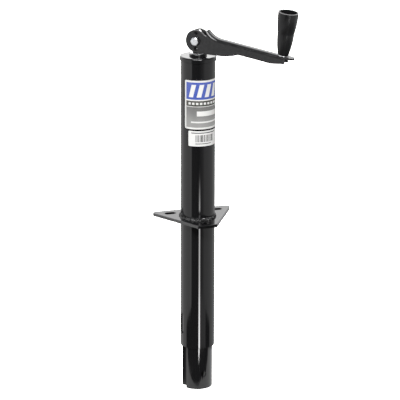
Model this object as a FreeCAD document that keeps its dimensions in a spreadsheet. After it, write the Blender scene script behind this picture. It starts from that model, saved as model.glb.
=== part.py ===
"""Trailer tongue jack: a top-wind screw jack on an A-frame plate, with a folding crank.

The origin is on the tube's axis at the underside of the mounting plate, +Z is up, and the plate's
nose points to -Y. Every size is a cell of the sheet Sizes, and every sketch and primitive is bound
to those cells. The expressions below use the names of the cells and of the derived sizes.
"""

import FreeCAD, Part

import math
import os
import re

import Sketcher
from FreeCAD import Placement, Rotation, Vector

SIZES = {
    # outer tube, its window and key
    "tube_od": 57.2, "tube_wall": 2.9, "tube_above": 276.0, "tube_below": 222.2,
    "tube_turn": 7.5, "window_width": 11.0, "window_height": 36.0, "window_drop": 181.5,
    "key_recess": 2.0, "key_blade": 6.4, "key_fit": 0.2, "key_stand_off": 0.32, "key_lift": 0.6,
    "blade_inset": 2.0, "end_round": 0.9,
    # mounting plate
    "plate_thick": 5.0, "plate_reach": 41.7, "plate_corner": 7.0, "nose_corner": 1.75,
    "nose_reach": 57.5, "plate_round": 0.9, "weld_leg": 6.2, "weld_curve": 8.7, "weld_fit": 0.05,
    "slot_width": 11.0, "slot_length": 20.0, "slot_across": 40.3, "slot_back": 24.7,
    "nose_hole": 11.0, "nose_hole_reach": 45.0,
    # cap and bush
    "cap_plate": 3.2, "cap_skirt": 7.3, "cap_wall": 1.6, "cap_round": 2.2, "rim_round": 0.4,
    "bush_wall": 2.6, "bush_flange": 29.2, "bush_flange_thick": 3.2, "bush_round": 0.8,
    "running_fit": 0.08,
    # thrust bearing
    "race_thick": 3.2, "race_od": 43.0, "race_ease": 1.0, "ball_diameter": 6.0,
    "ball_circle": 32.6, "ball_count": 12.0, "race_groove": 0.7, "cage_thick": 2.4,
    "cage_wall": 0.95, "ball_fit": 0.12,
    # lead screw
    "screw_od": 19.0, "screw_lead": 2.0, "journal_od": 18.0, "collar_od": 34.0,
    "collar_thick": 5.0, "tongue_thick": 9.8, "travel": 381.0, "end_gap": 0.6, "screw_tail": 9.0,
    "ring_od": 24.4, "ring_thick": 1.2, "ring_gap": 6.0, "ring_seat": 0.8, "ring_fit": 0.05,
    "stop_od": 29.0, "stop_thick": 3.0, "stop_pin": 4.0, "stop_pin_inset": 1.0,
    # ram tube and drive nut
    "ram_fit": 0.3, "ram_wall": 2.8, "ram_out": 73.8, "ram_length": 536.0,
    "keyway_mouth": 16.0, "keyway_floor": 9.0, "keyway_depth": 5.4,
    "foot_hole": 10.4, "foot_hole_rise": 26.8,
    "nut_height": 28.0, "nut_flange": 4.0, "nut_fit": 0.15, "nut_pin": 5.0, "nut_pin_drop": 14.0,
    "nut_pin_clear": 2.5, "nut_pin_inset": 0.5,
    # crank: sheet channel with two ears
    "pivot_rise": 24.8, "crank_turn": -46.5, "ear_radius": 18.7, "sheet_thick": 3.0,
    "crank_fit": 0.3, "bend_radius": 5.4, "arm_drop": 7.0, "arm_level": 8.4,
    "web_start": 19.4, "rise_turn": 47.3, "corner_reach": 30.1, "web_curve": 36.0,
    "lead_in": 8.0, "ear_foot": 19.6, "foot_start": 11.2, "slope_turn": 71.3, "notch_reach": 15.4,
    "notch_rise": 11.2, "heel_reach": 38.0, "heel_curve": 110.0, "waist_reach": 78.0,
    "arm_depth": 16.2, "toe_reach": 137.0, "toe_depth": 11.4, "side_end": 160.5,
    "tail_end": 175.0, "tail_inset": 1.0, "tail_round": 7.0,
    "pivot_bolt": 7.9, "bolt_hex": 12.7, "bolt_face": 11.6, "bolt_slope": 28.0, "bolt_head": 5.2,
    "nut_hex_thick": 5.3, "nut_collar_thick": 2.1, "nut_ease": 0.6, "thread_ease": 0.03,
    "washer_od": 17.0, "washer_thick": 1.5, "bolt_tail": 2.0,
    # detent
    "detent_radius": 13.0, "detent_hole": 7.2, "detent_ball": 5.5, "spring_wire": 0.6,
    "spring_turns": 3.0, "detent_depth": 8.8,
    # grip
    "grip_reach": 155.2, "grip_base": 17.6, "grip_belly": 27.0, "grip_mouth": 33.0,
    "grip_length": 72.0, "grip_belly_rise": 37.0, "grip_wall": 2.6, "grip_floor": 9.0,
    "grip_bulge": 158.0, "rivet_stem": 8.0, "rivet_head": 14.0, "rivet_head_thick": 3.0,
    "rivet_tail": 9.8, "rivet_tail_thick": 2.4, "rivet_ease": 1.2, "grip_washer": 1.4,
    "grip_washer_inset": 0.4, "grip_play": 0.3,
    # labels
    "label_thick": 0.15, "label_top": 243.0, "label_bottom": 161.2, "label_angle": 185.0,
    "label_start": -155.0, "small_label_top": 158.2, "small_label_bottom": 132.3,
    "small_label_angle": 128.0, "small_label_start": -140.0,
    # how far a cutting tool passes the surface that it cuts through
    "overrun": 1.0,
}

DERIVED = {
    "tube_r": "tube_od / 2",
    "tube_bore": "tube_r - tube_wall",
    "cap_under": "tube_above",
    "cap_top": "cap_under + cap_plate",
    "cap_r": "tube_r + weld_fit + cap_wall",
    "journal_r": "journal_od / 2",
    "bush_bore": "journal_r + running_fit",
    "bush_r": "bush_bore + bush_wall",
    "bush_top": "cap_top + bush_flange_thick",
    "ring_level": "bush_top + end_gap / 3",
    "ball_r": "ball_diameter / 2",
    "ball_level": "cap_under - race_thick - ball_r + race_groove",
    "race_gap": "ball_r - race_groove",
    "collar_top": "ball_level - race_gap - race_thick",
    "ram_r": "tube_bore - ram_fit",
    "ram_bore": "ram_r - ram_wall",
    "ram_bottom": "-tube_below - ram_out",
    "ram_top": "ram_bottom + ram_length",
    "nut_bottom": "ram_top - nut_height",
    "stop_top": "nut_bottom - travel - end_gap",
    "screw_end": "stop_top - stop_thick - screw_tail",
    "pivot_level": "cap_top + pivot_rise",
    "ear_gap": "tongue_thick / 2 + crank_fit",
    "crank_width": "2 * (ear_gap + sheet_thick)",
    "channel_depth": "3 * arm_depth",
    "nut_thick": "nut_hex_thick + nut_collar_thick",
    "window_level": "-window_drop",
    "key_floor": "ram_r - keyway_depth + key_lift",
    "keyway_run": "sqrt(ram_r ^ 2 - keyway_mouth ^ 2 / 4) - ram_r + keyway_depth",
    "keyway_rise": "(keyway_mouth - keyway_floor) / 2",
    "keyway_side": "sqrt(keyway_run ^ 2 + keyway_rise ^ 2)",
}

doc = FreeCAD.newDocument("TongueJack")
sheet = doc.addObject("Spreadsheet::Sheet", "Sizes")
for row, (alias, number) in enumerate(SIZES.items(), start=1):
    sheet.set(f"A{row}", alias)
    sheet.set(f"B{row}", str(number))
    sheet.setAlias(f"B{row}", alias)
doc.recompute()
gauge = doc.addObject("App::FeaturePython", "Gauge")
gauge.addProperty("App::PropertyFloat", "Reading")


def expression(text):
    """The sheet expression for a formula that is written with size names."""
    def spell(match):
        word = match.group()
        if word in DERIVED:
            return "(" + expression(DERIVED[word]) + ")"
        return "Sizes." + word if word in SIZES else word
    return re.sub(r"[a-z_]+", spell, str(text))


def measure(text):
    """The value that a formula has now."""
    gauge.setExpression("Reading", expression(text))
    gauge.recompute()
    return gauge.Reading


def bind(item, **formulas):
    """Bind properties of an object to the sheet. A double underscore stands for a dot."""
    for name, text in formulas.items():
        item.setExpression(name.replace("__", "."), expression(text))


def new_body(label):
    body = doc.addObject("PartDesign::Body", label)
    body.Label = label
    return body


def new_sketch(body, plane="XZ", shift=("0", "0", "0"), turn=None):
    """A sketch on an origin plane of its body, moved by shift and turned in its own plane."""
    sketch = body.newObject("Sketcher::SketchObject", body.Name + "_sketch")
    support = [f for f in body.Origin.OriginFeatures if f.Role == plane + "_Plane"][0]
    sketch.AttachmentSupport = [(support, "")]
    sketch.MapMode = "FlatFace"
    if turn:
        sketch.AttachmentOffset = Placement(Vector(), Rotation(Vector(0, 0, 1), 1))
        bind(sketch, AttachmentOffset__Rotation__Angle=turn)
    bind(sketch, AttachmentOffset__Base__x=shift[0], AttachmentOffset__Base__y=shift[1],
         AttachmentOffset__Base__z=shift[2])
    return sketch


def fix_point(sketch, edge, end, place):
    """Hold one point of a sketch at a place given as two formulas."""
    for kind, text in zip(("DistanceX", "DistanceY"), place):
        index = sketch.addConstraint(Sketcher.Constraint(kind, -1, 1, edge, end, measure(text)))
        sketch.setExpression(f"Constraints[{index}]", expression(text))


def fix_radius(sketch, edge, text):
    index = sketch.addConstraint(Sketcher.Constraint("Radius", edge, measure(text)))
    sketch.setExpression(f"Constraints[{index}]", expression(text))


def arc_between(start, end, radius):
    """The short arc from start to end; a positive radius has its centre to the left."""
    chord = end - start
    rise = math.sqrt(radius ** 2 - chord.Length ** 2 / 4)
    left = Vector(-chord.y, chord.x, 0).normalize()
    centre = (start + end) / 2 + left * math.copysign(rise, radius)
    first, last = (start, end) if radius > 0 else (end, start)
    angles = [math.atan2(p.y - centre.y, p.x - centre.x) for p in (first, last)]
    circle = Part.Circle(centre, Vector(0, 0, 1), abs(radius))
    return Part.ArcOfCircle(circle, angles[0], angles[1] + (2 * math.pi if angles[1] < angles[0] else 0))


def outline(sketch, points, arcs=None):
    """A closed outline through points given as formulas; arcs gives the radius of curved sides."""
    arcs = arcs or {}
    places = [Vector(measure(x), measure(y), 0) for x, y in points]
    ends = []
    for i, here in enumerate(places):
        there = places[(i + 1) % len(places)]
        if i in arcs:
            radius = measure(arcs[i])
            edge = sketch.addGeometry(arc_between(here, there, radius))
            ends.append((edge, 1, 2) if radius > 0 else (edge, 2, 1))
        else:
            ends.append((sketch.addGeometry(Part.LineSegment(here, there)), 1, 2))
    for i, (edge, start, end) in enumerate(ends):
        after = ends[(i + 1) % len(ends)]
        sketch.addConstraint(Sketcher.Constraint("Coincident", edge, end, after[0], after[1]))
        fix_point(sketch, edge, start, points[i])
        if i in arcs:
            text = arcs[i]
            fix_radius(sketch, edge, text if measure(text) > 0 else f"-({text})")
    return sketch


def circles(sketch, *rounds):
    """Circles given as (x, y, radius) formulas."""
    for x, y, radius in rounds:
        centre = Vector(measure(x), measure(y), 0)
        edge = sketch.addGeometry(Part.Circle(centre, Vector(0, 0, 1), measure(radius)))
        fix_point(sketch, edge, 3, (x, y))
        fix_radius(sketch, edge, radius)
    return sketch


def feature(body, kind, sketch, **formulas):
    made = body.newObject("PartDesign::" + kind, body.Name + "_" + kind.lower())
    made.Profile = sketch
    sketch.Visibility = False
    bind(made, **formulas)
    return made


def pad(body, sketch, length, both=False):
    made = feature(body, "Pad", sketch, Length=length)
    if both:
        made.SideType = "Symmetric"
    return made


def cut(body, sketch, length=None, both=False, away=False):
    """A pocket. It goes through all where no length is given, and away turns its side round."""
    made = feature(body, "Pocket", sketch)
    if length:
        bind(made, Length=length)
    else:
        made.Type = "ThroughAll"
    if both:
        made.SideType = "Symmetric"
    made.Reversed = away
    return made


def revolve(body, sketch, angle="360"):
    made = feature(body, "Revolution", sketch, Angle=angle)
    made.ReferenceAxis = (sketch, ["V_Axis"])
    return made


def groove(body, sketch):
    """Cut a section that is turned about its sketch's upright axis."""
    feature(body, "Groove", sketch, Angle="360").ReferenceAxis = (sketch, ["V_Axis"])


def turned(label, points, arcs=None, shift=("0", "0", "0"), turn=None):
    """A body of revolution about its sketch's upright axis."""
    body = new_body(label)
    revolve(body, outline(new_sketch(body, "XZ", shift, turn), points, arcs))
    return body


def dress(body, kind, size, choose):
    """Fillet or chamfer the edges of the body's last feature that choose accepts."""
    doc.recompute()
    base = body.Tip
    names = [f"Edge{i}" for i, e in enumerate(base.Shape.Edges, start=1) if choose(e)]
    made = body.newObject("PartDesign::" + kind, f"{body.Name}_{kind.lower()}")
    made.Base = (base, names)
    bind(made, **{"Radius" if kind == "Fillet" else "Size": size})
    return made


def round_rim(body, size, radius, level):
    """Fillet the circle about the body's own axis that has this radius at this height."""
    wanted, height = measure(radius), measure(level)

    def is_rim(edge):
        curve = edge.Curve
        return (isinstance(curve, Part.Circle) and abs(curve.Radius - wanted) < 1e-3
                and math.hypot(curve.Center.x, curve.Center.y) < 1e-3 and abs(curve.Center.z - height) < 1e-3)

    dress(body, "Fillet", size, is_rim)


def ring(inner, outer, low, high):
    """The four corners of a ring's section."""
    return [(inner, low), (outer, low), (outer, high), (inner, high)]


def obround(body, plane, across, along, width, length, cutter):
    """A round-ended slot or boss: a rectangle and two end circles, made by cutter."""
    half = f"({length} - {width}) / 2"
    left, right = f"{across} - {width} / 2", f"{across} + {width} / 2"
    low, high = f"{along} - {half}", f"{along} + {half}"
    sides = [(left, low), (right, low), (right, high), (left, high)]
    cutter(body, outline(new_sketch(body, *plane), sides))
    for sign in "-+":
        end = (across, f"{along} {sign} {half}", f"{width} / 2")
        cutter(body, circles(new_sketch(body, *plane), end))


def turn_about_axis(body, angle):
    """Turn a finished body about the jack's axis."""
    body.Placement = Placement(Vector(), Rotation(Vector(0, 0, 1), 1))
    bind(body, Placement__Rotation__Angle=angle)


def put_in_crank(item):
    """Crank pieces are drawn round the pivot, with the arm along +X, and put in place here."""
    item.Placement = Placement(Vector(), Rotation(Vector(0, 0, 1), 1))
    bind(item, Placement__Base__z="pivot_level", Placement__Rotation__Angle="crank_turn")


# ---------------------------------------------------------------- housing

def outer_tube():
    body = turned("outer_tube", ring("tube_bore", "tube_r", "-tube_below", "tube_above"))
    obround(body, ("YZ",), "0", "window_level", "window_width", "window_height", cut)
    round_rim(body, "end_round", "tube_r", "-tube_below")
    turn_about_axis(body, "tube_turn")


def guide_key():
    """A plug that fills the tube's window and stands into the ram's keyway."""
    body = new_body("guide_key")
    width, height = "(window_width - 2 * key_fit)", "(window_height - 2 * key_fit)"
    outside = ("YZ", ("0", "0", "-(tube_r - key_recess)"))

    def plug(target, sketch):
        pad(target, sketch, "tube_r - key_recess - ram_r - key_stand_off")

    def blade(target, sketch):
        pad(target, sketch, "tube_r - key_recess - key_floor")

    obround(body, outside, "0", "window_level", width, height, plug)
    obround(body, outside, "0", "window_level", "key_blade", f"({height} - 2 * blade_inset)", blade)
    turn_about_axis(body, "tube_turn")


def mounting_plate():
    """A triangle with round corners. Its nose is cut by an arc about the tube's axis."""
    body = new_body("mounting_plate")
    side = "plate_reach * sqrt(3)"
    along = "sqrt(nose_reach ^ 2 - plate_reach ^ 2)"
    nose_x = f"(plate_reach * sqrt(3) - {along}) / 2"
    nose_y = f"-(plate_reach + {along} * sqrt(3)) / 2"
    points = [(f"-({side})", "plate_reach"), (f"-({nose_x})", nose_y), (nose_x, nose_y),
              (side, "plate_reach")]
    pad(body, outline(new_sketch(body, "XY"), points, {1: "nose_reach"}), "plate_thick")
    thick = measure("plate_thick")

    def is_upright(edge):
        return abs(edge.Vertexes[0].Z - edge.Vertexes[-1].Z) > thick / 2

    def is_back_corner(edge):
        return is_upright(edge) and edge.CenterOfMass.y > 0

    def is_nose_corner(edge):
        return is_upright(edge) and edge.CenterOfMass.y < 0

    def is_top(edge):
        return all(abs(v.Z - thick) < 1e-4 for v in edge.Vertexes)

    dress(body, "Fillet", "plate_corner", is_back_corner)
    dress(body, "Fillet", "nose_corner", is_nose_corner)
    dress(body, "Fillet", "plate_round", is_top)
    holes = circles(new_sketch(body, "XY"), ("0", "0", "tube_r + weld_fit"),
                    ("0", "-nose_hole_reach", "nose_hole / 2"))
    cut(body, holes, away=True)
    for sign in ("-", ""):
        x = f"{sign}slot_across"
        slot_ends = [f"{x} - (slot_length - slot_width) / 2", f"{x} + (slot_length - slot_width) / 2"]
        low, high = "slot_back - slot_width / 2", "slot_back + slot_width / 2"
        box = [(slot_ends[0], low), (slot_ends[1], low), (slot_ends[1], high), (slot_ends[0], high)]
        cut(body, outline(new_sketch(body, "XY"), box), away=True)
        for end in slot_ends:
            cut(body, circles(new_sketch(body, "XY"), (end, "slot_back", "slot_width / 2")), away=True)


def plate_weld():
    foot = "tube_r + weld_fit"
    points = [(foot, "plate_thick"), (f"{foot} + weld_leg", "plate_thick"), (foot, "plate_thick + weld_leg")]
    turned("plate_weld", points, {1: "weld_curve"})


def top_cap():
    points = [("bush_r", "cap_under"), ("tube_r + weld_fit", "cap_under"),
              ("tube_r + weld_fit", "cap_top - cap_skirt"), ("cap_r", "cap_top - cap_skirt"),
              ("cap_r", "cap_top"), ("bush_r", "cap_top")]
    body = turned("top_cap", points)
    round_rim(body, "cap_round", "cap_r", "cap_top")
    round_rim(body, "rim_round", "cap_r", "cap_top - cap_skirt")


def cap_bush():
    points = [("bush_bore", "cap_under"), ("bush_r", "cap_under"), ("bush_r", "cap_top"),
              ("bush_flange / 2", "cap_top"), ("bush_flange / 2", "bush_top"), ("bush_bore", "bush_top")]
    body = turned("cap_bush", points)
    round_rim(body, "bush_round", "bush_flange / 2", "bush_top")


def labels():
    for name, prefix in (("tube_label", "label"), ("small_label", "small_label")):
        body = new_body(name)
        section = ring("tube_r", "tube_r + label_thick", f"{prefix}_bottom", f"{prefix}_top")
        revolve(body, outline(new_sketch(body, "XZ"), section), f"{prefix}_angle")
        turn_about_axis(body, f"{prefix}_start")


# ---------------------------------------------------------------- thrust bearing

def bearing_race(label, low, high, bore):
    body = turned(label, ring(bore, "race_od / 2", low, high))
    groove(body, circles(new_sketch(body, "XZ"), ("ball_circle / 2", "ball_level", "ball_r + ball_fit")))


def ball_cage():
    inner, outer = "ball_circle / 2 - ball_r - cage_wall", "ball_circle / 2 + ball_r + cage_wall"
    low, high = "ball_level - cage_thick / 2", "ball_level + cage_thick / 2"
    body = turned("ball_cage", ring(inner, outer, low, high))
    hole = circles(new_sketch(body, "XY"), ("ball_circle / 2", "0", "ball_r + ball_fit"))
    pocket = cut(body, hole, away=True)
    pattern = body.newObject("PartDesign::PolarPattern", "ball_cage_pattern")
    pattern.Originals = [pocket]
    pattern.Axis = (hole, ["N_Axis"])
    pattern.Angle = 360
    bind(pattern, Occurrences="ball_count")
    body.Tip = pattern


def bearing_balls():
    balls = []
    for i in range(round(measure("ball_count"))):
        ball = doc.addObject("Part::Sphere", f"ball_{i}")
        bind(ball, Radius="ball_r", Placement__Base__z="ball_level",
             Placement__Base__x=f"ball_circle / 2 * cos({i} * 360 / ball_count)",
             Placement__Base__y=f"ball_circle / 2 * sin({i} * 360 / ball_count)")
        balls.append(ball)
    group("bearing_balls", balls)


def group(label, solids):
    """Several separate solids that share one node."""
    made = doc.addObject("Part::Compound", label)
    made.Label = label
    made.Links = solids
    return made


# ---------------------------------------------------------------- lead screw

def lead_screw():
    """Shank, collar and journal in one turning, with a flat tongue milled on top."""
    seat_high, tongue_top = "ring_level + ring_thick", "pivot_level + journal_r"
    points = [("0", "screw_end"), ("screw_od / 2 - screw_lead", "screw_end"),
              ("screw_od / 2", "screw_end + screw_lead"), ("screw_od / 2", "collar_top - collar_thick"),
              ("collar_od / 2", "collar_top - collar_thick"), ("collar_od / 2", "collar_top"),
              ("journal_r", "collar_top"), ("journal_r", "ring_level"),
              ("journal_r - ring_seat", "ring_level"), ("journal_r - ring_seat", seat_high),
              ("journal_r", seat_high), ("journal_r", tongue_top), ("0", tongue_top)]
    body = turned("lead_screw", points)
    flat, above = f"{seat_high} + end_gap / 3", f"{tongue_top} + overrun"
    for sign in ("-", ""):
        near, far = f"{sign}tongue_thick / 2", f"{sign}journal_od"
        box = [(near, flat), (far, flat), (far, above), (near, above)]
        cut(body, outline(new_sketch(body, "YZ"), box), both=True)
    for sign in ("-", ""):
        out = f"{sign}(journal_r + overrun)"
        crown = [("0", above), (out, above), (out, "pivot_level"), (f"{sign}journal_r", "pivot_level"),
                 ("0", tongue_top)]
        cut(body, outline(new_sketch(body, "XZ"), crown, {3: f"{sign}journal_r"}), both=True)
    bolt_hole = ("0", "pivot_level", "pivot_bolt / 2 + running_fit")
    pin_hole = ("0", "stop_top - stop_thick - stop_pin / 2", "stop_pin / 2 + running_fit / 2")
    cut(body, circles(new_sketch(body, "XZ"), bolt_hole, pin_hole), both=True)
    socket = circles(new_sketch(body, "XZ", ("0", "0", "tongue_thick / 2")),
                     ("0", "pivot_level - detent_radius", "detent_ball / 2 + running_fit"))
    cut(body, socket, "detent_depth")
    turn_about_axis(body, "crank_turn")


def screw_fittings():
    section = ring("journal_r - ring_seat + ball_fit", "ring_od / 2", "ring_level + ring_fit",
                   "ring_level + ring_thick - ring_fit")
    body = turned("retaining_ring", section)
    gap = [("-ring_gap / 2", "journal_r / 2"), ("ring_gap / 2", "journal_r / 2"),
           ("ring_gap / 2", "ring_od"), ("-ring_gap / 2", "ring_od")]
    cut(body, outline(new_sketch(body, "XY"), gap), away=True)
    turn_about_axis(body, "crank_turn")
    section = ring("screw_od / 2 + running_fit", "stop_od / 2", "stop_top - stop_thick", "stop_top")
    turned("stop_washer", section)
    pin = doc.addObject("Part::Cylinder", "stop_pin_rod")
    pin.Placement = Placement(Vector(), Rotation(Vector(1, 0, 0), 90))
    bind(pin, Radius="stop_pin / 2", Height="stop_od - 2 * stop_pin_inset",
         Placement__Base__y="stop_od / 2 - stop_pin_inset",
         Placement__Base__z="stop_top - stop_thick - stop_pin / 2")
    made = group("stop_pin", [pin])
    made.Placement = Placement(Vector(), Rotation(Vector(0, 0, 1), 1))
    bind(made, Placement__Rotation__Angle="crank_turn")


def detent():
    """A ball in a blind hole of the tongue, with a coil spring behind it."""
    ball = doc.addObject("Part::Sphere", "detent_ball")
    ball.Label = "detent_ball"
    out = "-(tongue_thick / 2 - detent_ball / 2 - running_fit)"
    bind(ball, Radius="detent_ball / 2", Placement__Base__x=f"({out}) * -sin(crank_turn)",
         Placement__Base__y=f"({out}) * cos(crank_turn)", Placement__Base__z="pivot_level - detent_radius")
    wire, turns = measure("spring_wire"), measure("spring_turns")
    room = measure("detent_depth - detent_ball - 2 * running_fit")
    coil = measure("detent_ball / 2 - spring_wire / 2 - running_fit")
    path = Part.makeHelix((room - wire) / turns, room - wire, coil)
    section = Part.Wire(Part.makeCircle(wire / 2, Vector(coil, 0, 0), Vector(0, 1, 0)))
    spring = doc.addObject("Part::Feature", "detent_spring")
    spring.Label = "detent_spring"
    spring.Shape = Part.Wire(path).makePipeShell([section], True, True)
    start = measure("tongue_thick / 2 - detent_depth") + wire / 2
    lie = Placement(Vector(0, -start, -measure("detent_radius")), Rotation(Vector(1, 0, 0), 90))
    place = Placement(Vector(0, 0, measure("pivot_level")), Rotation(Vector(0, 0, 1), measure("crank_turn")))
    spring.Placement = place.multiply(lie)


# ---------------------------------------------------------------- ram

def ram_bore_outline(sketch, clear="0"):
    """The ram's inside: a circle with the back of the keyway standing into it, all a clearance further in.

    The keyway's back keeps the ram's wall all round: its floor's half width grows by the wall times
    (keyway_side - keyway_rise) / keyway_run, and its slanted sides end on the bore's circle.
    """
    radius = f"(ram_bore - ({clear}))"
    floor = f"(ram_r - keyway_depth - ram_wall - ({clear}))"
    floor_half = f"(keyway_floor / 2 + (ram_wall + {clear}) * (keyway_side - keyway_rise) / keyway_run)"
    offset = f"(({floor_half} * keyway_run - {floor} * keyway_rise) / keyway_side)"
    chord = f"sqrt({radius} ^ 2 - {offset} ^ 2)"
    mouth = f"(({chord} * keyway_run - {offset} * keyway_rise) / keyway_side)"
    mouth_half = f"(({offset} * keyway_run + {chord} * keyway_rise) / keyway_side)"
    points = [("0", f"-{radius}"), (radius, "0"), ("0", radius), (f"-{mouth}", mouth_half),
              (f"-{floor}", floor_half), (f"-{floor}", f"-{floor_half}"), (f"-{mouth}", f"-{mouth_half}")]
    return outline(sketch, points, {0: radius, 1: radius, 2: radius, 6: radius})


def ram_tube():
    body = new_body("ram_tube")
    level = ("0", "0", "ram_bottom")
    pad(body, circles(new_sketch(body, "XY", level), ("0", "0", "ram_r")), "ram_length")
    floor, out = "-(ram_r - keyway_depth)", "-(ram_r + overrun)"
    out_half = "(keyway_floor / 2 + (keyway_depth + overrun) * keyway_rise / keyway_run)"
    trough = [(floor, "-keyway_floor / 2"), (floor, "keyway_floor / 2"), (out, out_half), (out, f"-{out_half}")]
    cut(body, outline(new_sketch(body, "XY", level), trough), away=True)
    cut(body, ram_bore_outline(new_sketch(body, "XY", level)), away=True)
    holes = circles(new_sketch(body, "XZ"), ("0", "ram_bottom + foot_hole_rise", "foot_hole / 2"),
                    ("0", "ram_top - nut_pin_drop", "nut_pin / 2"))
    cut(body, holes, both=True)
    turn_about_axis(body, "tube_turn")


def drive_nut():
    """The nut fills the top of the ram and rests on its end by a flange."""
    body = new_body("drive_nut")
    boss = ram_bore_outline(new_sketch(body, "XY", ("0", "0", "nut_bottom")), "nut_fit")
    pad(body, boss, "nut_height")
    rim = circles(new_sketch(body, "XY", ("0", "0", "ram_top")), ("0", "0", "ram_r - nut_fit"))
    pad(body, rim, "nut_flange")
    bore = circles(new_sketch(body, "XY", ("0", "0", "nut_bottom")), ("0", "0", "screw_od / 2 + running_fit"))
    cut(body, bore, away=True)
    cut(body, circles(new_sketch(body, "XZ"), ("0", "ram_top - nut_pin_drop", "nut_pin / 2")), both=True)
    turn_about_axis(body, "tube_turn")


def nut_pins():
    pins = []
    for i, side in enumerate((1, -1)):
        pin = doc.addObject("Part::Cylinder", f"nut_pin_{i}")
        pin.Placement = Placement(Vector(), Rotation(Vector(1, 0, 0), -90 * side))
        bind(pin, Radius="nut_pin / 2", Height="ram_r - nut_pin_inset - screw_od / 2 - nut_pin_clear",
             Placement__Base__y=f"{side} * (screw_od / 2 + nut_pin_clear)",
             Placement__Base__z="ram_top - nut_pin_drop")
        pins.append(pin)
    made = group("nut_pins", pins)
    made.Placement = Placement(Vector(), Rotation(Vector(0, 0, 1), 1))
    bind(made, Placement__Rotation__Angle="tube_turn")


# ---------------------------------------------------------------- folding crank

def web_height(reach, below="0"):
    """Height of the arm's top face, or of a line this far below it, at a distance from the pivot."""
    return f"(arm_level - tan(arm_drop) * (({reach}) - corner_reach) - ({below}) / cos(arm_drop))"


def arm_block(body):
    """The arm's outside: a level web that rises to its start, with bent top edges."""
    start = "web_start - lead_in"
    start_height = "arm_level + (corner_reach - web_start + lead_in) * tan(rise_turn)"
    points = [(start, "-channel_depth"), ("side_end", "-channel_depth"), ("side_end", web_height("side_end")),
              ("corner_reach", "arm_level"), (start, start_height)]
    pad(body, outline(new_sketch(body), points), "crank_width", both=True)
    reach, level, low = measure("corner_reach"), measure("arm_level"), -measure("channel_depth")

    def is_corner(edge):
        return abs(edge.CenterOfMass.x - reach) + abs(edge.CenterOfMass.z - level) < 0.01

    def is_top(edge):
        return abs(edge.CenterOfMass.x - edge.Vertexes[0].X) > 1 and edge.CenterOfMass.z > low / 2

    dress(body, "Fillet", "web_curve", is_corner)
    dress(body, "Fillet", "bend_radius", is_top)
    below, over = "-2 * channel_depth", "2 * channel_depth"
    lead = [("0", below), ("web_start", below), ("web_start", over), ("0", over)]
    cut(body, outline(new_sketch(body), lead), both=True)


def ears(body):
    """Two round ears, still one block here, and the neck that joins them to the arm."""
    pad(body, circles(new_sketch(body), ("0", "0", "ear_radius")), "crank_width", both=True)
    neck_end = "web_start + lead_in"
    points = [("0", "0"), ("0", "-(ear_radius - crank_fit)"), ("foot_start", "-ear_foot"),
              (neck_end, "-ear_foot"), (neck_end, web_height(neck_end, "bend_radius")),
              ("web_start", web_height("web_start")), ("notch_reach", "notch_rise"),
              ("ear_radius * cos(slope_turn)", "ear_radius * sin(slope_turn)")]
    pad(body, outline(new_sketch(body), points), "crank_width", both=True)


def channel_gap(body):
    """The room between the side plates. The web over it keeps the sheet's thickness round its curve."""
    reach = "corner_reach - sheet_thick * tan((rise_turn - arm_drop) / 2)"
    height = web_height(reach, "sheet_thick")
    ease = "(web_curve + sheet_thick) * tan((rise_turn - arm_drop) / 2)"
    far, back, below = "side_end + lead_in", "-2 * ear_radius", "-2 * channel_depth"
    rise = f"{height} + ({reach} - web_start + lead_in) * tan(rise_turn)"
    points = [(back, below), (far, below), (far, web_height(far, "sheet_thick")),
              (f"{reach} + {ease} * cos(arm_drop)", f"{height} - {ease} * sin(arm_drop)"),
              (f"{reach} - {ease} * cos(rise_turn)", f"{height} + {ease} * sin(rise_turn)"),
              ("web_start - lead_in", rise), (back, rise)]
    curve = {3: "-(web_curve + sheet_thick)"}
    cut(body, outline(new_sketch(body), points, curve), "2 * ear_gap", both=True)


def trim_below(body):
    """Cut the side plates' lower edge: level under the ears, along the arm, then up to its end."""
    far, back, below = "side_end + lead_in", "-2 * ear_radius", "-2 * channel_depth"
    toe = web_height("side_end", "toe_depth")
    points = [(back, below), (back, "-ear_foot"), ("heel_reach", "-ear_foot"),
              ("waist_reach", web_height("waist_reach", "arm_depth")),
              ("toe_reach", web_height("toe_reach", "arm_depth")), ("side_end", toe), (far, toe), (far, below)]
    cut(body, outline(new_sketch(body), points, {2: "heel_curve"}), both=True)


def arm_tail(body):
    """The web runs on past the side plates as a flat round-cornered tongue."""
    start = "side_end - tail_inset"
    points = [(start, web_height(start, "sheet_thick")),
              ("tail_end", web_height("tail_end", "sheet_thick")), ("tail_end", web_height("tail_end")),
              (start, web_height(start))]
    pad(body, outline(new_sketch(body), points), "crank_width - 2 * tail_inset", both=True)
    tip, side = measure("tail_end"), measure("crank_width / 2 - tail_inset")

    def is_tip_corner(edge):
        return abs(edge.CenterOfMass.x - tip) < 0.3 and abs(abs(edge.CenterOfMass.y) - side) < 0.01

    dress(body, "Fillet", "tail_round", is_tip_corner)


def crank_arm():
    """A pressed sheet channel, open below, that runs into two ears round the pivot."""
    body = new_body("crank_arm")
    arm_block(body)
    ears(body)
    channel_gap(body)
    trim_below(body)
    arm_tail(body)
    holes = circles(new_sketch(body), ("0", "0", "pivot_bolt / 2 + running_fit"),
                    ("0", "detent_radius", "detent_hole / 2"), ("0", "-detent_radius", "detent_hole / 2"))
    cut(body, holes, both=True)
    shift, turn = grip_frame()
    section = ring("0", "rivet_stem / 2 + running_fit", "-2 * sheet_thick", "sheet_thick")
    groove(body, outline(new_sketch(body, "XZ", shift, turn), section))
    put_in_crank(body)


def hexagon(sketch, across_flats):
    """A hexagon about the sketch's origin with two flats level."""
    corner = f"({across_flats}) / sqrt(3)"
    points = [(f"{corner} * cos({60 * i})", f"{corner} * sin({60 * i})") for i in range(6)]
    return outline(sketch, points)


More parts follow.
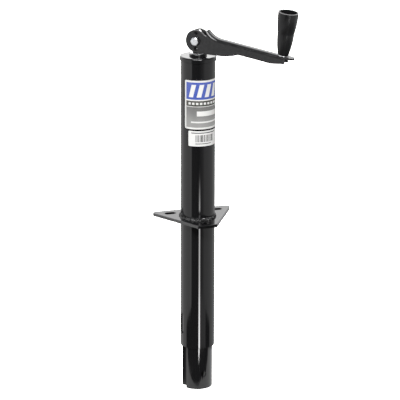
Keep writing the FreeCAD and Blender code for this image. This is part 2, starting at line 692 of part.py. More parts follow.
def pivot_bolt():
    """The bolt enters from the near ear; its hex head is on the -Y side and chamfered to a round face."""
    body = new_body("pivot_bolt")
    near, top = "crank_width / 2", "-(crank_width / 2 + bolt_head)"
    pad(body, hexagon(new_sketch(body, "XZ", ("0", "0", near)), "bolt_hex"), "bolt_head")
    shoulder = f"{top} + (bolt_hex - bolt_face / 2) * tan(bolt_slope)"
    chamfer = [("bolt_face / 2", top), ("bolt_hex", top), ("bolt_hex", shoulder)]
    groove(body, outline(new_sketch(body, "XY"), chamfer))
    length = "crank_width + washer_thick + nut_thick + bolt_tail"
    shank = circles(new_sketch(body, "XZ", ("0", "0", near)), ("0", "0", "pivot_bolt / 2"))
    pad(body, shank, length).Reversed = True
    put_in_crank(body)


def pivot_washer():
    body = new_body("pivot_washer")
    start = "-(crank_width / 2 + washer_thick)"
    rings = circles(new_sketch(body, "XZ", ("0", "0", start)), ("0", "0", "washer_od / 2"),
                    ("0", "0", "pivot_bolt / 2 + running_fit"))
    pad(body, rings, "washer_thick")
    put_in_crank(body)


def lock_nut():
    """A hex nut with the round collar of its nylon insert."""
    body = new_body("lock_nut")
    seat = "crank_width / 2 + washer_thick"
    hex_end, collar_end = ("0", "0", f"-({seat} + nut_hex_thick)"), ("0", "0", f"-({seat} + nut_thick)")
    pad(body, hexagon(new_sketch(body, "XZ", hex_end), "bolt_hex"), "nut_hex_thick")
    collar = circles(new_sketch(body, "XZ", collar_end), ("0", "0", "bolt_hex / 2 - nut_ease"))
    pad(body, collar, "nut_thick - nut_ease")
    cut(body, circles(new_sketch(body, "XZ"), ("0", "0", "pivot_bolt / 2 + thread_ease")), both=True)
    put_in_crank(body)


def grip_frame():
    """Shift and turn of a sketch whose upright axis is the grip's own, from the arm's top face."""
    return (("grip_reach", web_height("grip_reach"), "0"), "-arm_drop")


def crank_grip():
    """A hollow tapered grip with a bulging outside and an open mouth."""
    shift, turn = grip_frame()
    base, belly, mouth = "grip_base / 2", "grip_belly / 2", "grip_mouth / 2"
    low, middle, high = "grip_washer + grip_play", "grip_belly_rise", "grip_length"
    floor = f"{low} + grip_floor"
    points = [("rivet_stem / 2 + running_fit", low), (base, low), (belly, middle), (mouth, high),
              (f"{mouth} - grip_wall", high), (f"{belly} - grip_wall", middle),
              ("rivet_head / 2 + 2 * grip_play", floor), ("rivet_stem / 2 + running_fit", floor)]
    arcs = {1: "grip_bulge", 2: "grip_bulge + grip_belly", 4: "-(grip_bulge + grip_belly)"}
    body = turned("crank_grip", points, arcs, shift, turn)
    put_in_crank(body)


def grip_rivet():
    """A shoulder rivet: its head turns inside the grip and its tail is closed under the web."""
    shift, turn = grip_frame()
    head = "grip_washer + 2 * grip_play + grip_floor"
    top = f"{head} + rivet_head_thick"
    tail = "-(sheet_thick + rivet_tail_thick)"
    points = [("0", tail), ("rivet_tail / 2 - rivet_ease", tail), ("rivet_tail / 2", "-sheet_thick"),
              ("rivet_stem / 2", "-sheet_thick"), ("rivet_stem / 2", head), ("rivet_head / 2", head),
              ("rivet_head / 2 - rivet_ease", top), ("0", top)]
    put_in_crank(turned("grip_rivet", points, None, shift, turn))


def grip_washer():
    shift, turn = grip_frame()
    section = ring("rivet_stem / 2 + running_fit", "grip_base / 2 - grip_washer_inset", "0", "grip_washer")
    put_in_crank(turned("grip_washer", section, None, shift, turn))


def build():
    outer_tube()
    guide_key()
    mounting_plate()
    plate_weld()
    top_cap()
    cap_bush()
    labels()
    bearing_race("upper_race", "cap_under - race_thick", "cap_under", "journal_r + race_ease")
    bearing_race("lower_race", "collar_top", "collar_top + race_thick", "journal_r + running_fit / 2")
    ball_cage()
    bearing_balls()
    lead_screw()
    screw_fittings()
    detent()
    ram_tube()
    drive_nut()
    nut_pins()
    crank_arm()
    pivot_bolt()
    pivot_washer()
    lock_nut()
    crank_grip()
    grip_rivet()
    grip_washer()
    doc.recompute()


NODES = """outer_tube guide_key mounting_plate plate_weld top_cap cap_bush tube_label small_label upper_race
lower_race ball_cage bearing_balls lead_screw retaining_ring stop_washer stop_pin detent_ball detent_spring
ram_tube drive_nut nut_pins crank_arm pivot_bolt pivot_washer lock_nut crank_grip grip_rivet grip_washer"""


def check_and_write():
    failed = [o.Label for o in doc.Objects if "Invalid" in o.State or "Error" in o.State]
    if failed:
        raise RuntimeError(f"failed: {failed}")
    os.makedirs("parts", exist_ok=True)
    for label in NODES.split():
        piece = doc.getObjectsByLabel(label)[0]
        shape = piece.Shape
        if shape.isNull() or not shape.isValid() or not shape.Solids:
            raise RuntimeError(f"{label} is not a sound solid")
        print(f"{label:16s} {len(shape.Solids):3d} solids {shape.Volume:12.1f} mm3")
        shape.exportStep(f"parts/{label}.step")


build()
check_and_write()
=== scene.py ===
"""The looks of a trailer tongue jack: gloss black tubes, a folding crank, printed labels and a weld.

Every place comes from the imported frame, in metres. New pieces are grids of points worked out with
numpy; the other visible pieces are the frame's own solids with procedural finishes.
"""

import math

import bmesh
import bpy
import numpy as np
from mathutils import Matrix, Vector


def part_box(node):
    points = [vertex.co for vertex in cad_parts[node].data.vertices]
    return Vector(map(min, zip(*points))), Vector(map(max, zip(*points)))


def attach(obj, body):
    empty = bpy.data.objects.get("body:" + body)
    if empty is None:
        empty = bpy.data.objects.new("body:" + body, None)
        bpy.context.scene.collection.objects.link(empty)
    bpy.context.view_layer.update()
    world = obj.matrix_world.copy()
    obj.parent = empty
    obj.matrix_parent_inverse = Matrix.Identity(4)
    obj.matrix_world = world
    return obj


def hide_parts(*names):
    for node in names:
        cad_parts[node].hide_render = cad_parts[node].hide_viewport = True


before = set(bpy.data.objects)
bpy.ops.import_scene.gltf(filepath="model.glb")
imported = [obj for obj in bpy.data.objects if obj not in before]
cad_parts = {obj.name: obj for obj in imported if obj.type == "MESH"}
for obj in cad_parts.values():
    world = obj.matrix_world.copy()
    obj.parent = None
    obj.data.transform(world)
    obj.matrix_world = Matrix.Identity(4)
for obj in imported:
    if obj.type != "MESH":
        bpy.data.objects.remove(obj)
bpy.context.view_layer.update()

MM = 0.001
SEED = 7

# where the camera stands, the heading that it looks along (from +Y towards +X), and how far it looks down
CAMERA_PLACE = (-1.0949, -3.4850, 1.1605)
CAMERA_HEADING = math.radians(17.5)
CAMERA_PITCH = math.radians(17.17)
CAMERA_ROLL = 0.003
CAMERA_LENS = 207.0

# sizes read from the frame
TUBE_LOW, TUBE_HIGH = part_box("outer_tube")
TUBE_R = TUBE_HIGH.x
PLATE_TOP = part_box("mounting_plate")[1].z
WELD_LOW, WELD_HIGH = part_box("plate_weld")
FLOOR_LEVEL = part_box("ram_tube")[0].z
GRIP_LOW, GRIP_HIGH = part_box("crank_grip")
CRANK_TURN = math.atan2((GRIP_LOW.y + GRIP_HIGH.y) / 2, (GRIP_LOW.x + GRIP_HIGH.x) / 2)

# sizes of the new pieces
WELD_FULLEST = math.radians(-100)     # round from +X, where the weld is fullest, and again opposite
LABEL_FACE = 0.15 * MM                # the label's face above the tube
LABEL_FILM = 0.13 * MM                # the label's thickness

# colours that several finishes share
ENAMEL = (0.004, 0.004, 0.0044)
GREY_ZINC = (0.66, 0.67, 0.70)
PALE_ZINC = (0.88, 0.89, 0.90)

# the studio's walls, as bearing in degrees and light; bearing is 0 towards the camera and grows to its right
WALL_LIGHT = [(-180, 0.36), (-150, 0.72), (-120, 1.05), (-60, 0.95), (-44, 1.1), (-39, 0.10), (8, 0.05),
              (20, 0.16), (34, 0.30), (46, 0.62), (110, 0.74), (150, 0.70), (180, 0.36)]
STRIP_BEARINGS = (6.0, 10.0, 14.5, 19.5)     # where the bright strip begins, is full, fades and ends


# ---------------------------------------------------------------- node helpers

def add(tree, kind, inputs=None, **settings):
    """A node with its settings and inputs. An input is a value or another node's output."""
    made = tree.nodes.new(kind)
    for name, value in settings.items():
        setattr(made, name, value)
    for name, value in (inputs or {}).items():
        if isinstance(value, bpy.types.NodeSocket):
            tree.links.new(value, made.inputs[name])
        else:
            made.inputs[name].default_value = value
    return made


def maths(tree, operation, *values):
    """The output of one Math node."""
    return add(tree, "ShaderNodeMath", dict(enumerate(values)), operation=operation).outputs[0]


def product(tree, first, *others):
    """The product of several values."""
    for other in others:
        first = maths(tree, "MULTIPLY", first, other)
    return first


def along(tree, vector, direction):
    """How far a vector points along a direction: their dot product."""
    made = add(tree, "ShaderNodeVectorMath", {0: vector, 1: direction}, operation="DOT_PRODUCT")
    return made.outputs["Value"]


def step(tree, value, low, high, start=0.0, end=1.0):
    """A smooth step of value from start at low to end at high."""
    limits = {"Value": value, "From Min": low, "From Max": high, "To Min": start, "To Max": end}
    return add(tree, "ShaderNodeMapRange", limits, interpolation_type="SMOOTHSTEP").outputs["Result"]


def band(tree, value, begins, full, fades, ends):
    """1 between full and fades, with a smooth rise before it and a smooth fall after it, and 0 outside."""
    return product(tree, step(tree, value, begins, full), step(tree, value, fades, ends, 1.0, 0.0))


def within(tree, value, low, high):
    """1 between low and high, 0 outside, with no smooth edge."""
    return product(tree, maths(tree, "GREATER_THAN", value, low), maths(tree, "LESS_THAN", value, high))


def mix_light(tree, share, under, over):
    """The strength under, replaced by the strength over as far as share says."""
    return add(tree, "ShaderNodeMix", {0: share, 2: under, 3: over}, data_type="FLOAT").outputs[0]


def mix_colour(tree, share, under, over):
    """The colour under, covered by the colour over as far as share says."""
    made = add(tree, "ShaderNodeMix", {"Factor": share}, data_type="RGBA")
    for index, value in ((6, under), (7, over)):
        if isinstance(value, bpy.types.NodeSocket):
            tree.links.new(value, made.inputs[index])
        else:
            made.inputs[index].default_value = (*value, 1)
    return made.outputs[2]


def noise(tree, scale, detail=3.0, roughness=0.5, stretch=(1, 1, 1)):
    """Noise on Object coordinates, with cells of 1 / scale metres, made finer along an axis by stretch."""
    place = add(tree, "ShaderNodeTexCoord").outputs["Object"]
    spread = add(tree, "ShaderNodeMapping", {"Vector": place, "Scale": stretch}).outputs[0]
    return add(tree, "ShaderNodeTexNoise", {"Vector": spread, "Scale": scale, "Detail": detail,
                                            "Roughness": roughness}).outputs["Fac"]


def bump(tree, height, depth, normal=None):
    """A bump of this depth in metres, over another normal where one is given."""
    inputs = {"Height": height, "Distance": depth, "Strength": 1.0}
    if normal:
        inputs["Normal"] = normal
    return add(tree, "ShaderNodeBump", inputs).outputs["Normal"]


def facing(tree):
    """The direction that the surface faces."""
    return add(tree, "ShaderNodeNewGeometry").outputs["Normal"]


def new_finish(name, colour, roughness, **sockets):
    """A material with its own Principled shader. Returns the material, its tree and the shader."""
    made = bpy.data.materials.new(name)
    made.use_nodes = True
    tree = made.node_tree
    shader = tree.nodes["Principled BSDF"]
    shader.inputs["Base Color"].default_value = (*colour, 1)
    shader.inputs["Roughness"].default_value = roughness
    for socket, value in sockets.items():
        shader.inputs[socket.replace("_", " ")].default_value = value
    return made, tree, shader


def feed(tree, shader, **outputs):
    """Link outputs to the shader's sockets."""
    for socket, output in outputs.items():
        tree.links.new(output, shader.inputs[socket.replace("_", " ")])


# ---------------------------------------------------------------- finishes

def gloss_paint():
    """Black enamel: a soft orange peel, a little dust and a roughness that drifts."""
    made, tree, shader = new_finish("gloss_black_enamel", ENAMEL, 0.03, IOR=1.5)
    dust = product(tree, step(tree, noise(tree, 1400, 2), 0.72, 0.80), 0.10)
    feed(tree, shader, Normal=bump(tree, noise(tree, 200, 1), 0.0000006),
         Base_Color=mix_colour(tree, dust, ENAMEL, (0.10, 0.10, 0.10)),
         Roughness=step(tree, noise(tree, 35, 4), 0.3, 0.7, 0.012, 0.035))
    return made


def plate_paint():
    """The same enamel over plate with sheared slanting sides, where it lies rougher and a little thin. The
    faces that look straight forward, in the slots and on the nose, are made dull and almost black as painted
    shade."""
    made, tree, shader = new_finish("plate_enamel", ENAMEL, 0.05, IOR=1.5)
    parts = add(tree, "ShaderNodeSeparateXYZ", {0: facing(tree)})
    side = step(tree, maths(tree, "ABSOLUTE", parts.outputs[0]), 0.55, 0.8)
    # painted shade: faces that look straight forward, in the slots and on the nose, turn metallic with the
    # enamel's near-black colour, so they reflect almost nothing
    shaded_forward_faces = step(tree, maths(tree, "MULTIPLY", parts.outputs[1], -1.0), 0.6, 0.9)
    shear = noise(tree, 300, 3, 0.6, (1, 1, 4))
    worn = product(tree, side, step(tree, shear, 0.3, 0.75, 0.25, 1.0))
    rough = maths(tree, "MAXIMUM", step(tree, side, 0.0, 1.0, 0.06, 0.42), product(tree, shaded_forward_faces, 0.5))
    feed(tree, shader, Roughness=rough, Metallic=product(tree, shaded_forward_faces, 0.9),
         Base_Color=mix_colour(tree, worn, ENAMEL, (0.06, 0.06, 0.06)),
         Normal=bump(tree, noise(tree, 160, 2), 0.000002))
    return made


def weld_paint():
    """Enamel over spatter and slag specks, which break its shine into glints."""
    made, tree, shader = new_finish("weld_enamel", ENAMEL, 0.05, IOR=1.5)
    slag = step(tree, noise(tree, 700, 2), 0.6, 0.8)
    feed(tree, shader, Normal=bump(tree, noise(tree, 700, 2, 0.6), 0.00012),
         Roughness=step(tree, noise(tree, 300, 2), 0.3, 0.7, 0.03, 0.16),
         Base_Color=mix_colour(tree, slag, ENAMEL, (0.03, 0.03, 0.03)))
    return made


def satin_paint():
    """The crank's thinner black coat over pressed sheet: rolled grain and a soft shine."""
    made, tree, shader = new_finish("satin_black_coat", (0.005, 0.005, 0.0055), 0.18, IOR=1.44)
    grain = bump(tree, noise(tree, 1500, 3), 0.000008)
    clouds = step(tree, noise(tree, 240, 5), 0.35, 0.75)
    feed(tree, shader, Normal=bump(tree, noise(tree, 120, 2), 0.00002, grain),
         Base_Color=mix_colour(tree, clouds, (0.006, 0.006, 0.0065), (0.012, 0.012, 0.0125)),
         Roughness=step(tree, noise(tree, 90, 4), 0.3, 0.7, 0.13, 0.22))
    return made


def zinc_colour(tree, spangle):
    """Bluish white, lighter and darker with the spangle."""
    return mix_colour(tree, step(tree, spangle, 0.3, 0.7), GREY_ZINC, PALE_ZINC)


def zinc_scratches(tree):
    """Fine scratches round the upright axis."""
    return bump(tree, noise(tree, 2400, 4, 0.7, (1, 1, 6)), 0.00001)


def bright_zinc():
    """Zinc plate: bluish white metal, spangled and finely scratched."""
    made, tree, shader = new_finish("bright_zinc", (0.80, 0.81, 0.83), 0.28, Metallic=1.0)
    spangle = noise(tree, 900, 4)
    feed(tree, shader, Base_Color=zinc_colour(tree, spangle), Normal=zinc_scratches(tree),
         Roughness=step(tree, spangle, 0.3, 0.7, 0.2, 0.36))
    return made


def bolt_zinc():
    """Zinc on the faces of head and nut that look along the bolt; their sides get a near-black, non-metallic
    colour as painted shade.
    """
    made, tree, shader = new_finish("bolt_zinc_shaded_sides", (0.80, 0.81, 0.83), 0.30, Metallic=1.0)
    turn = CRANK_TURN - math.pi / 2
    along_bolt = along(tree, facing(tree), (math.cos(turn), math.sin(turn), 0))
    # painted shade: the sides of head and nut are coloured near-black and made non-metallic; zinc stays only on
    # the faces that look along the bolt
    unshaded_faces = step(tree, maths(tree, "ABSOLUTE", along_bolt), 0.55, 0.8)
    spangle = noise(tree, 900, 4)
    feed(tree, shader, Base_Color=mix_colour(tree, unshaded_faces, (0.012, 0.012, 0.012), zinc_colour(tree, spangle)),
         Metallic=unshaded_faces, Normal=zinc_scratches(tree), Roughness=step(tree, spangle, 0.3, 0.7, 0.24, 0.38))
    return made


def dark_oxide():
    """The screw's blackened, oiled steel: long smears of oil up and down it."""
    made, tree, shader = new_finish("oiled_black_steel", (0.05, 0.048, 0.046), 0.35, Metallic=0.8)
    smear = noise(tree, 160, 4, 0.6, (1, 1, 0.3))
    colour = mix_colour(tree, step(tree, smear, 0.3, 0.7), (0.035, 0.034, 0.033), (0.09, 0.085, 0.08))
    feed(tree, shader, Base_Color=colour, Roughness=step(tree, smear, 0.3, 0.7, 0.22, 0.45),
         Normal=bump(tree, noise(tree, 1200, 3), 0.00001))
    return made


def polished_steel():
    """Bearing steel under an uneven film of grease."""
    made, tree, shader = new_finish("polished_bearing_steel", (0.62, 0.62, 0.63), 0.12, Metallic=1.0)
    film = noise(tree, 300, 3)
    feed(tree, shader, Roughness=step(tree, film, 0.3, 0.7, 0.08, 0.2),
         Base_Color=mix_colour(tree, step(tree, film, 0.3, 0.7), (0.55, 0.55, 0.56), (0.70, 0.70, 0.70)))
    return made


def nut_bronze():
    """Turned bronze, with tool marks round it and a colour that drifts."""
    made, tree, shader = new_finish("machined_bronze", (0.55, 0.36, 0.16), 0.3, Metallic=1.0)
    tool_marks = noise(tree, 900, 3, 0.5, (0.2, 0.2, 6))
    tint = step(tree, noise(tree, 80, 4), 0.3, 0.7)
    feed(tree, shader, Normal=bump(tree, tool_marks, 0.00001),
         Roughness=step(tree, tool_marks, 0.3, 0.7, 0.24, 0.4),
         Base_Color=mix_colour(tree, tint, (0.48, 0.30, 0.13), (0.62, 0.42, 0.2)))
    return made


def cage_nylon():
    """The ball cage's yellowed nylon, clouded and finely grained."""
    made, tree, shader = new_finish("cage_nylon", (0.62, 0.55, 0.36), 0.45)
    clouds = noise(tree, 220, 4)
    feed(tree, shader, Base_Color=mix_colour(tree, clouds, (0.55, 0.48, 0.30), (0.70, 0.63, 0.44)),
         Normal=bump(tree, noise(tree, 1500, 2), 0.00001))
    return made


def grip_plastic():
    """Moulded black plastic: a fine spark-eroded grain, with a colour and a shine that drift."""
    made, tree, shader = new_finish("grip_plastic", (0.004, 0.004, 0.0045), 0.34, IOR=1.38)
    clouds = step(tree, noise(tree, 60, 3), 0.3, 0.7)
    feed(tree, shader, Normal=bump(tree, noise(tree, 2200, 3), 0.00001),
         Base_Color=mix_colour(tree, clouds, (0.0022, 0.0022, 0.0024), (0.005, 0.005, 0.0055)),
         Roughness=step(tree, noise(tree, 140, 3), 0.3, 0.7, 0.19, 0.27))
    return made


# ---------------------------------------------------------------- printed labels

def label_places(tree):
    """The label's own places in metres: along the tube's round from its left end, and up from its foot."""
    place = add(tree, "ShaderNodeUVMap", uv_map="label_place").outputs[0]
    parts = add(tree, "ShaderNodeSeparateXYZ", {0: place})
    return parts.outputs[0], parts.outputs[1]


def block(tree, across, up, left, right, low, high, lean=0.0):
    """A mask for an upright block, which leans to the right by this much per metre of height."""
    if lean:
        shift = product(tree, maths(tree, "SUBTRACT", up, low), lean)
        across = maths(tree, "SUBTRACT", across, shift)
    return product(tree, within(tree, across, left, right), within(tree, up, low, high))


def row(tree, across, up, count, start, pitch, width, low, high, lean=0.0):
    """Masks for equal blocks in a row, a pitch apart. start, pitch and width are in millimetres."""
    lefts = [start + pitch * number for number in range(count)]
    return [block(tree, across, up, left * MM, (left + width) * MM, low, high, lean) for left in lefts]


def stack(tree, masks):
    """One mask that holds several."""
    total = masks[0]
    for mask in masks[1:]:
        total = maths(tree, "MAXIMUM", total, mask)
    return total


def height_of(node):
    """How tall a node is."""
    low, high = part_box(node)
    return high.z - low.z


def label_grain(tree):
    """The slight unevenness of film on paint."""
    return bump(tree, noise(tree, 400, 2), 0.000006)


def label_print():
    """The big label: a white border round a blue field, a dark band and a grey band, with plain bars on each."""
    made, tree, shader = new_finish("label_print", (0.8, 0.8, 0.8), 0.16, Coat_Weight=0.3,
                                    Coat_Roughness=0.08)
    across, up = label_places(tree)
    tall = height_of("tube_label")
    edge = 3.0 * MM
    no_end = 1.0     # past the label's right end, so the fields run out to it
    field_low, band_low = 0.61 * tall, 0.47 * tall
    paper = (0.50, 0.50, 0.487)
    grey = mix_colour(tree, step(tree, up, edge, band_low), (0.20, 0.20, 0.195), (0.10, 0.10, 0.097))
    colour = paper
    for low, high, ink in ((edge, band_low - 0.8 * MM, grey),
                           (band_low, field_low - 2 * MM, (0.045, 0.043, 0.038)),
                           (field_low, tall - edge, (0.035, 0.062, 0.27))):
        colour = mix_colour(tree, block(tree, across, up, edge, no_end, low, high), colour, ink)
    bars = row(tree, across, up, 5, 8, 13.5, 7.5, field_low + 4 * MM, tall - 7 * MM, lean=0.25)
    marks = row(tree, across, up, 10, 7.5, 6.5, 4, band_low + 3 * MM, field_low - 5 * MM)
    dashes = [block(tree, across, up, 22 * MM, 60 * MM, 0.27 * tall, 0.37 * tall),
              block(tree, across, up, 12 * MM, 74 * MM, 0.13 * tall, 0.16 * tall)]
    colour = mix_colour(tree, stack(tree, bars + marks + dashes), colour, paper)
    fading = product(tree, noise(tree, 90, 3), 0.06)
    feed(tree, shader, Base_Color=mix_colour(tree, fading, colour, (0.5, 0.5, 0.5)), Normal=label_grain(tree))
    return made


def small_label_print():
    """The small label: white film with a block of uneven bars and two plain lines."""
    made, tree, shader = new_finish("small_label_print", (0.8, 0.8, 0.8), 0.25, Coat_Weight=0.2,
                                    Coat_Roughness=0.1)
    across, up = label_places(tree)
    tall = height_of("small_label")
    bar_noise = add(tree, "ShaderNodeTexNoise", {"Scale": 900.0, "Detail": 0.0, "W": across},
                    noise_dimensions="1D").outputs["Fac"]
    stripes = maths(tree, "GREATER_THAN", bar_noise, 0.5)
    bars = product(tree, stripes, block(tree, across, up, 12 * MM, 46 * MM, 0.28 * tall, 0.74 * tall))
    lines = [block(tree, across, up, 12 * MM, 40 * MM, 0.14 * tall, 0.19 * tall),
             block(tree, across, up, 5 * MM, 50 * MM, 0.84 * tall, 0.90 * tall)]
    colour = mix_colour(tree, stack(tree, [bars] + lines), (0.50, 0.50, 0.49), (0.035, 0.035, 0.035))
    feed(tree, shader, Base_Color=colour, Normal=label_grain(tree))
    return made


# ---------------------------------------------------------------- meshes

def surface(name, points, places=None):
    """A mesh from a grid of points. Its second direction closes on itself, and its two ends are closed by
    faces unless the first direction closes too. places gives each point's own map coordinates."""
    rows, columns = points.shape[:2]
    ring = np.allclose(points[0], points[-1])
    if ring:
        points, rows = points[:-1], rows - 1
    count = rows if ring else rows - 1
    i, j = np.meshgrid(np.arange(count), np.arange(columns), indexing="ij")
    corners = [i * columns + j, (i + 1) % rows * columns + j, (i + 1) % rows * columns + (j + 1) % columns,
               i * columns + (j + 1) % columns]
    faces = np.stack(corners, axis=-1).reshape(-1, 4).tolist()
    if not ring:
        faces += [list(range(columns)), list(range((rows - 1) * columns, rows * columns))]
    mesh = bpy.data.meshes.new(name)
    mesh.from_pydata(points.reshape(-1, 3).tolist(), [], faces)
    if places is not None:
        layer = mesh.uv_layers.new(name="label_place")
        index = np.zeros(len(mesh.loops), np.int32)
        mesh.loops.foreach_get("vertex_index", index)
        layer.data.foreach_set("uv", places.reshape(-1, 2)[index].astype(np.float32).ravel())
    work = bmesh.new()
    work.from_mesh(mesh)
    bmesh.ops.remove_doubles(work, verts=work.verts, dist=1e-6)
    bmesh.ops.recalc_face_normals(work, faces=work.faces)
    work.to_mesh(mesh)
    work.free()
    made = bpy.data.objects.new(name, mesh)
    bpy.context.scene.collection.objects.link(made)
    return made


def smooth(piece, angle=40):
    """Shade smooth, with edges sharper than the angle kept."""
    with bpy.context.temp_override(active_object=piece, object=piece, selected_editable_objects=[piece]):
        bpy.ops.object.shade_smooth_by_angle(angle=math.radians(angle))
    return piece


def put(piece, body, slot, finish, *nodes):
    """Give a piece its finish and its body, and let it stand for frame nodes. slot is not used."""
    piece.data.materials.clear()
    piece.data.materials.append(finish)
    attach(piece, body)
    if nodes:
        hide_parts(*nodes)
    return piece


def weld_bead():
    """A fillet weld round the tube. At an angle round the tube, its section is an arc from the plate up to
    the tube. The arc's reach is a mean that is full in front and behind and thin at the sides, with three
    things added: slow random lumps, a ripple of puddles that leans back along the bead, and fine spatter.
    All three die out where the arc meets plate and tube. The back of the section lies on both."""
    around = np.linspace(0, 2 * np.pi, 1201)
    rise = np.linspace(0, np.pi / 2, 19)
    angle, turn = np.meshgrid(around, rise, indexing="ij")
    leg = WELD_HIGH.x - TUBE_R
    puddle = angle * 38 - 2.4 * np.sin(turn * 2) + 1.1 * np.sin(angle * 5 + 1.0) + 0.8 * np.sin(angle * 13)
    ripple = 1 - np.abs(np.sin(puddle / 2)) ** 1.5
    chance = np.random.default_rng(SEED)
    lumps = sum(chance.uniform(0.3, 1)
                * np.sin(angle * k + turn * chance.uniform(1, 6) + chance.uniform(0, 6))
                for k in (7, 11, 19, 31, 53, 67)) / 6
    spatter = sum(np.sin(angle * k + turn * chance.uniform(5, 14) + chance.uniform(0, 6))
                  for k in (61, 79, 97, 113, 131, 151)) / 6
    swell = np.sin(turn * 2) ** 0.5
    front = 0.5 + 0.5 * np.cos(2 * (angle - WELD_FULLEST))
    uneven = swell * (0.45 * lumps - 0.14 * ripple + 0.16 * np.abs(spatter) ** 0.7)
    reach = leg * (0.34 + 0.36 * front + uneven)
    reach = np.clip(reach, 0.2 * leg, 0.98 * leg)
    radius = TUBE_R + reach * np.cos(turn)
    face_points = np.stack([radius * np.cos(angle), radius * np.sin(angle), PLATE_TOP + reach * np.sin(turn)],
                           axis=-1)
    heel = np.stack([TUBE_R * np.cos(around), TUBE_R * np.sin(around), np.full(around.size, PLATE_TOP)],
                    axis=-1)
    piece = surface("weld_bead", np.concatenate([face_points, heel[:, None]], axis=1))
    for face in piece.data.polygons:
        face.use_smooth = True
    return piece


def label_sheet(name, node, start, span, corner):
    """A label round the tube: film of the node's height, from a start angle over a span, with round
    corners. Within a corner's radius of each end its half height falls along a circle. The grid goes up
    the outside and down the back, and both meet at the ends."""
    low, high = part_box(node)
    half, middle = (high.z - low.z) / 2, (high.z + low.z) / 2
    outer = TUBE_R + LABEL_FACE
    length = outer * span
    straight = np.linspace(corner, length - corner, 90)[1:-1]
    distance = np.concatenate([np.linspace(0, corner, 12), straight, np.linspace(length - corner, length, 12)])
    inset = np.clip(corner - np.minimum(distance, length - distance), 0, corner)
    reach = half - corner + np.sqrt(corner ** 2 - inset ** 2)
    up = np.outer(reach, np.linspace(-1, 1, 25))
    angle = np.broadcast_to((start + distance / outer)[:, None], up.shape)
    front, back = (np.stack([radius * np.cos(angle), radius * np.sin(angle), middle + up], axis=-1)
                   for radius in (outer, outer - LABEL_FILM))
    flat = np.stack([np.broadcast_to(distance[:, None], up.shape), up + half], axis=-1)
    grid = np.concatenate([front, back[:, ::-1]], axis=1)
    return smooth(surface(name, grid, np.concatenate([flat, flat[:, ::-1]], axis=1)))


def finish_nodes(finishes):
    """Give the frame's own solids their finishes."""
    for finish, names in finishes.items():
        for name in names.split():
            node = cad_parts[name]
            node.data.materials.clear()
            node.data.materials.append(finish)


# ---------------------------------------------------------------- studio

def camera():
    """The camera, which looks down along its heading."""
    made = bpy.data.objects.new("camera", bpy.data.cameras.new("camera"))
    made.data.lens = CAMERA_LENS
    made.data.clip_end = 50
    made.location = CAMERA_PLACE
    heading = Matrix.Rotation(-CAMERA_HEADING, 4, "Z") @ Matrix.Rotation(math.pi / 2 - CAMERA_PITCH, 4, "X")
    made.rotation_euler = (heading @ Matrix.Rotation(CAMERA_ROLL, 4, "Z")).to_euler()
    bpy.context.scene.collection.objects.link(made)
    bpy.context.scene.camera = made


def floor():
    """A plain pale sheet under the jack. It glows a little, so that it stays nearly even."""
    half = 6.0
    corners = [(x * half, y * half, FLOOR_LEVEL) for x, y in ((-1, -1), (1, -1), (1, 1), (-1, 1))]
    mesh = bpy.data.meshes.new("floor")
    mesh.from_pydata(corners, [], [(0, 1, 2, 3)])
    made = bpy.data.objects.new("floor", mesh)
    bpy.context.scene.collection.objects.link(made)
    finish, _, shader = new_finish("pale_floor", (0.9, 0.9, 0.9), 0.8)
    shader.inputs["Emission Color"].default_value = (1, 1, 1, 1)
    shader.inputs["Emission Strength"].default_value = 0.75
    mesh.materials.append(finish)
    made.visible_glossy = False
    made.visible_diffuse = False


def directions(tree):
    """Where a place in the room lies, in degrees: its bearing, and its tilt above the level."""
    view = add(tree, "ShaderNodeTexCoord").outputs["Generated"]
    sine, cosine = math.sin(CAMERA_HEADING), math.cos(CAMERA_HEADING)
    rightward, towards = along(tree, view, (cosine, -sine, 0)), along(tree, view, (-sine, -cosine, 0))
    bearing = maths(tree, "DEGREES", maths(tree, "ARCTAN2", rightward, towards))
    height = add(tree, "ShaderNodeSeparateXYZ", {0: view}).outputs[2]
    return bearing, maths(tree, "DEGREES", maths(tree, "ARCSINE", height))


def wall_ramp(tree, bearing):
    """The walls' light, straight between the bearings of WALL_LIGHT."""
    share = add(tree, "ShaderNodeMapRange", {"Value": bearing, "From Min": -180.0, "From Max": 180.0})
    ramp = add(tree, "ShaderNodeValToRGB", {"Fac": share.outputs[0]})
    elements = ramp.color_ramp.elements
    for at, _ in WALL_LIGHT[1:-1]:
        elements.new((at + 180) / 360)
    for element, (at, light) in zip(elements, WALL_LIGHT):
        element.position = (at + 180) / 360
        element.color = (light, light, light, 1)
    return ramp.outputs["Color"]


def dark_apron(tree, bearing, tilt):
    """A mask for the apron low in front. It widens downwards, and its foot is round: a circle's height."""
    width = step(tree, tilt, -19.75, -20.3, 46.0, 86.0)
    depth = add(tree, "ShaderNodeMapRange", {"Value": tilt, "From Min": -20.9, "From Max": -21.78}).outputs[0]
    round_foot = maths(tree, "SQRT", maths(tree, "SUBTRACT", 1.0, maths(tree, "POWER", depth, 2.0)))
    off_axis = maths(tree, "ABSOLUTE", maths(tree, "SUBTRACT", bearing, 5.0))
    beside = maths(tree, "SUBTRACT", off_axis, product(tree, width, round_foot))
    return product(tree, step(tree, tilt, -19.3, -19.8), step(tree, beside, -3.0, 1.0, 1.0, 0.0))


def low_room(tree, bearing, tilt):
    """The light below the horizon: the walls, the dark apron with a dim panel on it, a bright ground
    outside the apron, and a dim one further down."""
    apron = dark_apron(tree, bearing, tilt)
    panel = product(tree, band(tree, bearing, 18.0, 21.0, 54.0, 60.0),
                    step(tree, tilt, -20.84, -20.90, 0.46, 0.0))
    light = mix_light(tree, apron, wall_ramp(tree, bearing), maths(tree, "ADD", panel, 0.06))
    outside = product(tree, step(tree, tilt, -20.84, -20.90), maths(tree, "SUBTRACT", 1.0, apron))
    light = mix_light(tree, outside, light, 1.45)
    return mix_light(tree, step(tree, tilt, -23.0, -30.0), light, 0.25)


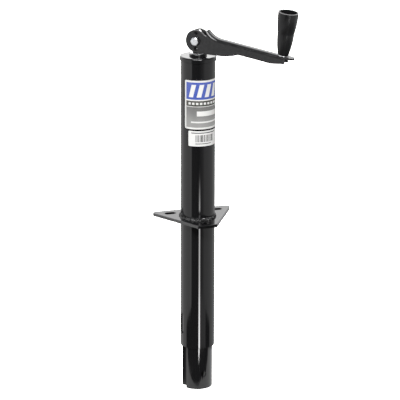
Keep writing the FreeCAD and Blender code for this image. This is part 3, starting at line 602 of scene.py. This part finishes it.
def bright_strip(tree, bearing, tilt):
    """One narrow strip beside the camera, which brightens downwards and has a thin gap across it."""
    gap = within(tree, tilt, -17.86, -17.45)
    strip = product(tree, band(tree, bearing, *STRIP_BEARINGS), step(tree, tilt, -21.06, -21.12, 1.0, 0.0),
                    maths(tree, "SUBTRACT", 1.0, gap))
    glow = maths(tree, "ADD", step(tree, tilt, -16.4, -17.9, 0.0, 10.0),
                 step(tree, tilt, -18.5, -20.8, 0.0, 12.0))
    return product(tree, strip, glow)


def high_room(tree, bearing, tilt):
    """The light above the horizon: a bright backdrop and sky behind the jack, a dim front, one soft box high
    in front, and a rail under it in line with the strip."""
    aside = maths(tree, "ABSOLUTE", bearing)
    backdrop = product(tree, step(tree, aside, 70.0, 150.0), step(tree, tilt, 14.0, 17.2, 1.0, 0.72),
                       step(tree, tilt, 18.0, 26.0, 1.0, 0.0))
    sky = product(tree, step(tree, aside, 112.0, 140.0), band(tree, tilt, 18.5, 26.0, 60.0, 72.0))
    box = product(tree, band(tree, bearing, -46.0, -40.0, 26.0, 32.0),
                  band(tree, tilt, 35.0, 38.0, 47.0, 50.0))
    rail = product(tree, band(tree, bearing, *STRIP_BEARINGS), step(tree, tilt, 33.0, 30.0))
    light = 0.24
    for mask, strength in ((backdrop, 2.3), (sky, 2.7), (box, 34.0), (rail, 8.0)):
        light = maths(tree, "ADD", light, product(tree, mask, strength))
    return light


def studio():
    """The room's light by direction, low and high, joined by a smooth step over the horizon. The camera
    itself sees plain white."""
    world = bpy.data.worlds.new("studio")
    bpy.context.scene.world = world
    world.use_nodes = True
    tree = world.node_tree
    bearing, tilt = directions(tree)
    low = maths(tree, "ADD", low_room(tree, bearing, tilt), bright_strip(tree, bearing, tilt))
    light = mix_light(tree, step(tree, tilt, -4.0, 8.0), low, high_room(tree, bearing, tilt))
    seen = add(tree, "ShaderNodeLightPath").outputs["Is Camera Ray"]
    background = tree.nodes["Background"]
    background.inputs["Color"].default_value = (1, 1, 1, 1)
    tree.links.new(mix_light(tree, seen, light, 1.05), background.inputs["Strength"])


def soft_light(name, place, aim, size, watts):
    """A square lamp at a place, turned to its aim. It shows neither to the camera nor in the paint."""
    lamp = bpy.data.lights.new(name, "AREA")
    lamp.shape = "RECTANGLE"
    lamp.size, lamp.size_y = size
    lamp.energy = watts
    made = bpy.data.objects.new(name, lamp)
    made.location = place
    made.rotation_euler = (Vector(aim) - Vector(place)).to_track_quat("-Z", "Y").to_euler()
    made.visible_camera = False
    made.visible_glossy = False
    bpy.context.scene.collection.objects.link(made)


# ---------------------------------------------------------------- the jack

bpy.context.scene.view_settings.view_transform = "Standard"
camera()
floor()
studio()
soft_light("key_light", (-2.2, -1.2, 2.6), (0, 0, 0.1), (1.6, 1.6), 8)

put(weld_bead(), "housing", "black_paint", weld_paint(), "plate_weld")
label = label_sheet("printed_label", "tube_label", math.radians(-155), math.radians(185), 3 * MM)
put(label, "housing", "label_film", label_print(), "tube_label")
small = label_sheet("printed_small_label", "small_label", math.radians(-140), math.radians(128), 1.5 * MM)
put(small, "housing", "label_film", small_label_print(), "small_label")

finish_nodes({
    gloss_paint(): "outer_tube top_cap cap_bush guide_key ram_tube",
    plate_paint(): "mounting_plate",
    satin_paint(): "crank_arm",
    bolt_zinc(): "pivot_bolt lock_nut",
    bright_zinc(): "pivot_washer grip_rivet grip_washer retaining_ring stop_washer stop_pin nut_pins",
    polished_steel(): "upper_race lower_race bearing_balls detent_ball detent_spring",
    dark_oxide(): "lead_screw",
    nut_bronze(): "drive_nut",
    cage_nylon(): "ball_cage",
    grip_plastic(): "crank_grip",
})
